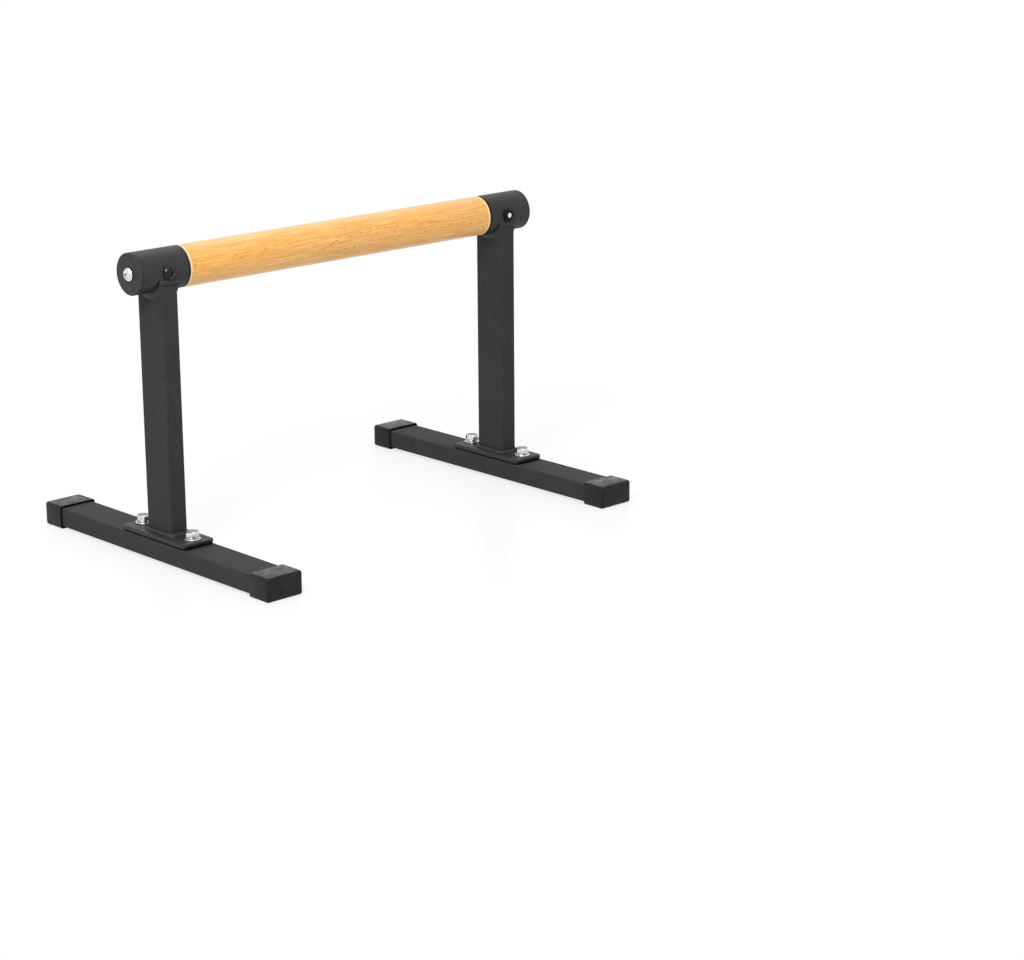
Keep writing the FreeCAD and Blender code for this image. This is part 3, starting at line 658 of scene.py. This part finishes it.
def make_end_screw(end, outward):
    node = f"end_screw_{end}"
    reach = extent(node)
    low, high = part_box(node)
    seat = (low.x if outward < 0 else high.x) - outward * HEAD_HEIGHT["end"]
    loops = socket_screw_loops("end", reach.y / 2, reach.x - HEAD_HEIGHT["end"])
    place = along(outward * AXES["X"], (seat, 0, BAR_HEIGHT), clockwise=END_SCREW_TURN)
    dress(loft(f"finished_{node}", loops, place=place), node, [ZINC])


def make_cross_bolt(end, outward):
    """The bolt across the sleeve: a black head, and a bright tip that shows in the nut."""
    node = f"cross_bolt_{end}"
    low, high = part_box(node)
    reach = extent(node)
    seat = (low.y if outward < 0 else high.y) - outward * HEAD_HEIGHT["cross"]
    loops = socket_screw_loops("cross", reach.x / 2, reach.y - HEAD_HEIGHT["cross"])
    bright_bands = 3
    bands = [1] * bright_bands + [0] * (len(loops) - 1 - bright_bands)
    place = along(outward * AXES["Y"], (middle(node).x, seat, BAR_HEIGHT))
    piece = loft(f"finished_{node}", loops, place=place, band_materials=bands)
    dress(piece, node, [BLACK_OXIDE, ZINC])


def make_cross_nut(end, outward):
    """The sleeve nut: a plain barrel with a rounded flange."""
    node = f"cross_nut_{end}"
    low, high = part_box(node)
    reach = extent(node)
    bore = THREAD_RADIUS["cross"] + THREAD_PLAY
    barrel = FLANGE_HEIGHT - reach.y
    rim = reach.x / 2
    mouth = bore + NUT_MOUTH
    profile = [(bore, barrel), (BARREL_RADIUS - SOCKET_EASE, barrel), (BARREL_RADIUS, barrel + SOCKET_EASE),
               (BARREL_RADIUS, 0), (rim - SOCKET_EASE, 0), (rim, SOCKET_EASE)]
    profile += dome(rim, mouth, FLANGE_RIM, FLANGE_HEIGHT)
    profile.append((bore, FLANGE_HEIGHT - NUT_MOUTH))
    seat = (low.y if outward < 0 else high.y) - outward * FLANGE_HEIGHT
    place = along(outward * AXES["Y"], (middle(node).x, seat, BAR_HEIGHT))
    piece = loft(f"finished_{node}", turned(profile), ring=True, place=place)
    dress(piece, node, [DULL_OXIDE])


def make_base_bolt(place_name):
    """A hexagon bolt whose head has its corners bevelled at both faces, and a duller top whose darker
    colour is a painted dark reflection.
    """
    node = f"base_bolt_{place_name}"
    flats = extent(node).y
    height = HEAD_HEIGHT["base"]
    length = extent(node).z - height
    head = hexagon(flats, BOLT_CORNER)
    angles = [math.atan2(point.y, point.x) for point in head]
    bevel_circle = flats / 2 - BOLT_BEVEL_INSET
    drops = [bevel_drop(point, bevel_circle) for point in head]
    shank = THREAD_RADIUS["base"]
    loops = turned([(shank - TIP_CHAMFER, -length), (shank, TIP_CHAMFER - length), (shank, 0),
                    (bevel_circle, 0)], angles)
    loops.append([Vector((point.x, point.y, drop)) for point, drop in zip(head, drops)])
    loops.append([Vector((point.x, point.y, height - drop)) for point, drop in zip(head, drops)])
    loops += turned([(bevel_circle, height), (DARK_TOP_SHARE * bevel_circle, height)], angles)
    # the top band gets the duller zinc with the painted dark reflection
    bands = [0] * (len(loops) - 2) + [1]
    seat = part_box(node)[1].z - height
    place = along(AXES["Z"], (middle(node).x, middle(node).y, seat))
    piece = loft(f"finished_{node}", loops, place=place, band_materials=bands)
    dress(piece, node, [ZINC, DARKENED_TOP_ZINC])


def bevel_drop(point, inner):
    """How far a 30 degree bevel that starts at an inner radius has fallen at a point."""
    return max(0.0, point.length - inner) * BOLT_BEVEL_SLOPE


def make_flat_washer(place_name):
    node = f"flat_washer_{place_name}"
    low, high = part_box(node)
    rim = extent(node).x / 2
    profile = rounded([(WASHER_BORE, low.z, 0), (rim, low.z, WASHER_EDGE / 2), (rim, high.z, WASHER_EDGE),
                       (WASHER_BORE, high.z, WASHER_EDGE)])
    place = along(AXES["Z"], (middle(node).x, middle(node).y, 0))
    dress(loft(f"finished_{node}", turned(profile), ring=True, place=place), node, [ZINC])


def make_spring_washer(place_name):
    """A split ring, left open at its slit."""
    node = f"spring_washer_{place_name}"
    low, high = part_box(node)
    bore = THREAD_RADIUS["base"] + THREAD_PLAY
    rim = extent(node).y / 2
    section = rounded([(bore, low.z, SPRING_EDGE), (rim, low.z, SPRING_EDGE), (rim, high.z, SPRING_EDGE),
                       (bore, high.z, SPRING_EDGE)])
    half_slit = math.asin(SPRING_SLIT / 2 / rim)
    steps = ROUND_SEGMENTS // 2
    loops = []
    for step in range(steps + 1):
        angle = half_slit + (2 * math.pi - 2 * half_slit) * step / steps
        loops.append([Vector((radius * math.cos(angle), radius * math.sin(angle), height))
                      for radius, height in section])
    place = along(AXES["Z"], (middle(node).x, middle(node).y, 0))
    dress(loft(f"finished_{node}", loops, place=place), node, [ZINC])


# Posts, plates and feet

def cope(y):
    """Height of the sleeve's underside above the floor, at a distance from its middle."""
    return BAR_HEIGHT - math.sqrt(BAR_RADIUS ** 2 - y ** 2)


def make_post(end):
    """A rectangular tube whose top follows the underside of the sleeve."""
    node = f"post_{end}"
    size = extent(node)
    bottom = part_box(node)[0].z
    outer = rectangle(size.x, size.y, TUBE_CORNER)
    inner = rectangle(size.x - 2 * TUBE_WALL, size.y - 2 * TUBE_WALL, TUBE_INNER_CORNER)
    parts = divided_alike(outer, inner, COPE_STEP)
    loops = []
    for outline, coped in ((parts[0], False), (parts[0], True), (parts[1], True), (parts[1], False)):
        loops.append([Vector((point.x, point.y, cope(point.y) if coped else bottom)) for point in outline])
    place = Matrix.Translation((middle(node).x, 0, 0))
    dress(loft(f"finished_{node}", loops, ring=True, place=place), node, [POWDER_COAT])


def divided_alike(outer, inner, step):
    """Divides two outlines of equal length at the same shares of their runs."""
    results = [[], []]
    runs = zip(outer, outer[1:] + outer[:1], inner, inner[1:] + inner[:1])
    for here, there, inner_here, inner_there in runs:
        parts = max(1, math.ceil((there - here).length / step))
        for part in range(parts):
            results[0].append(here.lerp(there, part / parts))
            results[1].append(inner_here.lerp(inner_there, part / parts))
    return results


def make_base_plate(end):
    """The plate under a post, with rounded corners, an eased top edge and a rounder lower one."""
    node = f"base_plate_{end}"
    low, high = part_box(node)
    size = extent(node)
    section = rounded([(PLATE_BOTTOM_INSET, low.z, 0), (0, low.z, PLATE_UNDERSIDE),
                       (0, high.z, PLATE_EDGE), (PLATE_TOP_INSET, high.z, 0)], closed=False)
    loops = [raised(rectangle(size.x - 2 * inset, size.y - 2 * inset, PLATE_CORNER - inset), height)
             for inset, height in section]
    place = Matrix.Translation((middle(node).x, 0, 0))
    dress(loft(f"finished_{node}", loops, place=place), node, [PLATE_COAT])


def make_foot_tube(end):
    node = f"foot_tube_{end}"
    size = extent(node)
    outer = rectangle(size.x, size.z, TUBE_CORNER)
    inner = rectangle(size.x - 2 * TUBE_WALL, size.z - 2 * TUBE_WALL, TUBE_INNER_CORNER)
    half = size.y / 2
    loops = [raised(outer, -half), raised(outer, half), raised(inner, half), raised(inner, -half)]
    place = lying(middle(node), 1)
    dress(loft(f"finished_{node}", loops, ring=True, place=place), node, [POWDER_COAT])


def lying(centre, towards):
    """The place of a form made along Z, laid along Y with its first axis along X."""
    turn = Matrix(((1, 0, 0), (0, 0, 1), (0, -1, 0))).to_4x4()
    if towards < 0:
        turn = Matrix.Rotation(math.pi, 4, "Z") @ turn
    return Matrix.Translation(centre) @ turn


def make_foot_cap(place_name, towards):
    """A rubber cap: a cup with a soft lip, a sloped mouth, rounded long edges and a rounded end."""
    node = f"foot_cap_{place_name}"
    size = extent(node)
    foot = extent(f"foot_tube_{place_name.split('_')[0]}")
    half = size.y / 2
    side = (size.x - foot.x) / 2 - CAP_FIT
    section = rounded([(half, half, 0), (0, half, CAP_EDGE), (0, -half, CAP_LIP),
                       (side, CAP_MOUTH_SLOPE - half, 0), (side, half - CAP_END, 0)], closed=False)
    loops = []
    for inset, reach in section[1:]:
        loops.append(raised(inset_rectangle(size, inset), reach))
    place = lying(middle(node), towards)
    dress(loft(f"finished_{node}", loops, place=place), node, [RUBBER])


def inset_rectangle(size, inset):
    """A cap's outline at an inset from its outer faces."""
    corner = max(CAP_CORNER - inset, CAP_LIP)
    return rectangle(size.x - 2 * inset, size.z - 2 * inset, corner)


# Weld beads

def bead(name, path):
    """A closed weld bead along points that each give the joint's place, two legs from it and a bulge."""
    loops = []
    travelled = 0.0
    total = sum((there[0] - here[0]).length for here, there in zip(path, path[1:] + path[:1]))
    pitch = total / round(total / BEAD_PITCH)
    last = path[0][0]
    for spot, first, second, bulge in path:
        travelled += (spot - last).length
        last = spot
        wander = 1 + BEAD_WANDER * noise.noise(spot / BEAD_WANDER_LENGTH)
        phase = travelled / pitch + BEAD_UNEVEN * noise.noise(spot / BEAD_WANDER_LENGTH)
        section = bead_section(first * wander, second * wander, bulge, phase)
        loops.append([spot + point for point in section])
    return loft(name, loops, ring=True)


def bead_section(first, second, bulge, phase):
    """The rippled face of a bead from the end of one leg to the end of the other, and its hidden root."""
    start = first - BEAD_EMBED * second.normalized()
    chord = second - BEAD_EMBED * first.normalized() - start
    halfway = first + second
    proud = (halfway - halfway.project(chord)).normalized()
    points = []
    for step in range(BEAD_FACE_STEPS + 1):
        share = step / BEAD_FACE_STEPS
        swell = bulge * math.sin(share ** BEAD_SAG * math.pi) ** BEAD_FULLNESS
        crescent = BEAD_CRESCENT * (2 * share - 1) ** 2
        ripple = 1 + BEAD_RIPPLE * math.cos(2 * math.pi * (phase + crescent))
        points.append(start + chord * share + proud * swell * ripple)
    points.append(-BEAD_ROOT * (first.normalized() + second.normalized()))
    return points


def outline_with_normals(outline):
    """Each point of a closed outline with the direction that faces out of it."""
    result = []
    for before, here, after in zip(outline[-1:] + outline[:-1], outline, outline[1:] + outline[:1]):
        run = (after - before).normalized()
        result.append((here, Vector((run.y, -run.x, 0))))
    return result


def post_outline(end):
    size = extent(f"post_{end}")
    return divided(rectangle(size.x, size.y, TUBE_CORNER), BEAD_STEP)


def make_sleeve_weld(end):
    """The saddle-shaped bead where the post meets the underside of the sleeve."""
    node = f"sleeve_weld_{end}"
    x = middle(f"post_{end}").x
    post_width = extent(f"post_{end}").y
    path = []
    for point, outward in outline_with_normals(post_outline(end)):
        spot = Vector((x + point.x, point.y, cope(point.y)))
        sleeve_normal = Vector((0, point.y, spot.z - BAR_HEIGHT)).normalized()
        over_sleeve = (outward - outward.dot(sleeve_normal) * sleeve_normal).normalized()
        from_sleeve = (sleeve_normal - sleeve_normal.dot(outward) * outward).normalized()
        to_corner = (2 * point.y / post_width) ** 2
        down_post = from_sleeve.lerp(-AXES["Z"], to_corner).normalized()
        over, down, bulge = (sizes["side"] + (sizes["end"] - sizes["side"]) * outward.x ** 2
                             for sizes in (SADDLE_OVER, SADDLE_DOWN, SADDLE_BULGE))
        over *= 1 - CORNER_TAPER * outward.x ** 2 * to_corner ** 2
        ear = CORNER_EAR * 4 * (outward.x * outward.y) ** 2
        path.append((spot, over * over_sleeve, down * down_post, bulge + ear))
    dress(bead(f"finished_{node}", path), node, [THICK_COAT])


def make_post_weld(end):
    """The bead around the foot of the post, on the base plate."""
    node = f"post_weld_{end}"
    x = middle(f"post_{end}").x
    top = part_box(f"base_plate_{end}")[1].z
    path = [(Vector((x + point.x, point.y, top)), FOOT_LEG * outward, FOOT_LEG * AXES["Z"], FOOT_BULGE)
            for point, outward in outline_with_normals(post_outline(end))]
    dress(bead(f"finished_{node}", path), node, [THICK_COAT])


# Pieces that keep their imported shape

def dress_hidden(node, material):
    """Gives a piece that no side shows its material."""
    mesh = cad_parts[node].data
    mesh.materials.clear()
    mesh.materials.append(material)


# Stage, light and camera

FLOOR_HALF = 30.0
FLOOR_TONE = 0.72
FLOOR_GLOW = 0.75
FLOOR_FADE = (0.32, 0.85)
FLOOR_ROUGHNESS = 0.3
FLOOR_SPECULAR = 0.5
AMBIENT = 0.75
WHITE = (1.0, 1.0, 1.0, 1.0)

CAMERA_PLACE = (-1.7060, -2.0672, 0.7894)
CAMERA_HEADING = math.radians(43.425)
CAMERA_DIP = math.radians(15.752)
CAMERA_ROLL = math.radians(-0.340)
CAMERA_LENS = 91.73
CAMERA_SENSOR = 36.0

LAMPS = (
    # name, place, aim, size, watts
    ("left_softbox", (-1.3, -0.85, 1.3), (-0.1, 0, 0.15), 0.6, 19.5),
    ("front_softbox", (0.1, -2.0, 0.8), (0, 0, 0.2), 0.5, 0.8),
    ("back_softbox", (0.9, 1.1, 2.2), (0, 0, 0.2), 1.6, 8.0),
)
OVERHEAD_TILT = (math.radians(6), math.radians(-10), 0)
OVERHEAD_STRENGTH = 1.1
OVERHEAD_SPREAD = math.radians(60)


def seen_directly(tree):
    """A factor that is 1 where the camera, a reflection or a clear surface sees the thing itself."""
    path = tree.nodes.new("ShaderNodeLightPath")
    total = path.outputs["Is Camera Ray"]
    for name in ("Is Glossy Ray", "Is Transmission Ray"):
        highest = tree.nodes.new("ShaderNodeMath")
        highest.operation = "MAXIMUM"
        tree.links.new(total, highest.inputs[0])
        tree.links.new(path.outputs[name], highest.inputs[1])
        total = highest.outputs["Value"]
    return total


def make_world():
    """White where it is seen, and a plain level of light from all round."""
    world = bpy.data.worlds.new("studio")
    bpy.context.scene.world = world
    world.use_nodes = True
    tree = world.node_tree
    light = tree.nodes["Background"]
    light.inputs["Color"].default_value = WHITE
    light.inputs["Strength"].default_value = AMBIENT
    shown = tree.nodes.new("ShaderNodeBackground")
    shown.inputs["Color"].default_value = WHITE
    shown.inputs["Strength"].default_value = 1.0
    mixer = tree.nodes.new("ShaderNodeMixShader")
    tree.links.new(seen_directly(tree), mixer.inputs["Fac"])
    tree.links.new(light.outputs["Background"], mixer.inputs[1])
    tree.links.new(shown.outputs["Background"], mixer.inputs[2])
    tree.links.new(mixer.outputs["Shader"], tree.nodes["World Output"].inputs["Surface"])


def make_floor():
    """A pale floor that keeps the soft shadow and faint reflections, and fades to white all round."""
    corners = [(x * FLOOR_HALF, y * FLOOR_HALF, 0) for x, y in ((-1, -1), (1, -1), (1, 1), (-1, 1))]
    floor = new_mesh("floor", corners, [(0, 1, 2, 3)])
    material = bpy.data.materials.new("pale_floor")
    material.use_nodes = True
    tree = material.node_tree
    shader = tree.nodes["Principled BSDF"]
    shader.inputs["Base Color"].default_value = (FLOOR_TONE, FLOOR_TONE, FLOOR_TONE, 1)
    shader.inputs["Roughness"].default_value = FLOOR_ROUGHNESS
    shader.inputs["Specular IOR Level"].default_value = FLOOR_SPECULAR
    glow = tree.nodes.new("ShaderNodeEmission")
    glow.inputs["Color"].default_value = WHITE
    glow.inputs["Strength"].default_value = 1.0
    place = tree.nodes.new("ShaderNodeTexCoord")
    distance = tree.nodes.new("ShaderNodeVectorMath")
    distance.operation = "LENGTH"
    tree.links.new(place.outputs["Object"], distance.inputs[0])
    fade = tree.nodes.new("ShaderNodeMapRange")
    fade.interpolation_type = "SMOOTHSTEP"
    for name, value in zip(("From Min", "From Max", "To Min", "To Max"), (*FLOOR_FADE, FLOOR_GLOW, 1.0)):
        fade.inputs[name].default_value = value
    tree.links.new(distance.outputs["Value"], fade.inputs["Value"])
    share = tree.nodes.new("ShaderNodeMath")
    share.operation = "MULTIPLY"
    tree.links.new(seen_directly(tree), share.inputs[0])
    tree.links.new(fade.outputs["Result"], share.inputs[1])
    mixer = tree.nodes.new("ShaderNodeMixShader")
    tree.links.new(share.outputs["Value"], mixer.inputs["Fac"])
    tree.links.new(shader.outputs["BSDF"], mixer.inputs[1])
    tree.links.new(glow.outputs["Emission"], mixer.inputs[2])
    tree.links.new(mixer.outputs["Shader"], tree.nodes["Material Output"].inputs["Surface"])
    floor.data.materials.append(material)


def make_lamps():
    for name, place, aim, size, watts in LAMPS:
        lamp = bpy.data.lights.new(name, "AREA")
        lamp.shape = "DISK"
        lamp.size = size
        lamp.energy = watts
        holder = bpy.data.objects.new(name, lamp)
        holder.location = place
        holder.rotation_euler = (Vector(aim) - Vector(place)).to_track_quat("-Z", "Y").to_euler()
        bpy.context.scene.collection.objects.link(holder)
    overhead = bpy.data.lights.new("overhead", "SUN")
    overhead.energy = OVERHEAD_STRENGTH
    overhead.angle = OVERHEAD_SPREAD
    holder = bpy.data.objects.new("overhead", overhead)
    holder.rotation_euler = OVERHEAD_TILT
    bpy.context.scene.collection.objects.link(holder)


def make_camera():
    """The photograph's viewpoint: a long lens that looks down and along the bar from its left."""
    data = bpy.data.cameras.new("camera")
    data.sensor_width = CAMERA_SENSOR
    data.lens = CAMERA_LENS
    data.clip_end = 2 * FLOOR_HALF
    camera = bpy.data.objects.new("camera", data)
    level = Matrix.Rotation(-CAMERA_HEADING, 4, "Z") @ Matrix.Rotation(math.pi / 2 - CAMERA_DIP, 4, "X")
    camera.matrix_world = Matrix.Translation(CAMERA_PLACE) @ level @ Matrix.Rotation(CAMERA_ROLL, 4, "Z")
    bpy.context.scene.collection.objects.link(camera)
    bpy.context.scene.camera = camera


# Build

make_grip()
for end, outward in zip(ENDS, (-1, 1)):
    make_sleeve(end)
    make_end_disc(end)
    make_end_screw(end, outward)
    make_cross_bolt(end, outward)
    make_cross_nut(end, -outward)
    make_sleeve_weld(end)
    make_post(end)
    make_post_weld(end)
    make_base_plate(end)
    make_foot_tube(end)
    dress_hidden(f"end_insert_{end}", BRASS)
    for side, towards in zip(SIDES, (-1, 1)):
        make_foot_cap(f"{end}_{side}", towards)
        make_base_bolt(f"{end}_{side}")
        make_flat_washer(f"{end}_{side}")
        make_spring_washer(f"{end}_{side}")
        dress_hidden(f"weld_nut_{end}_{side}", ZINC)

make_world()
make_floor()
make_lamps()
make_camera()
bpy.context.scene.view_settings.view_transform = "Standard"
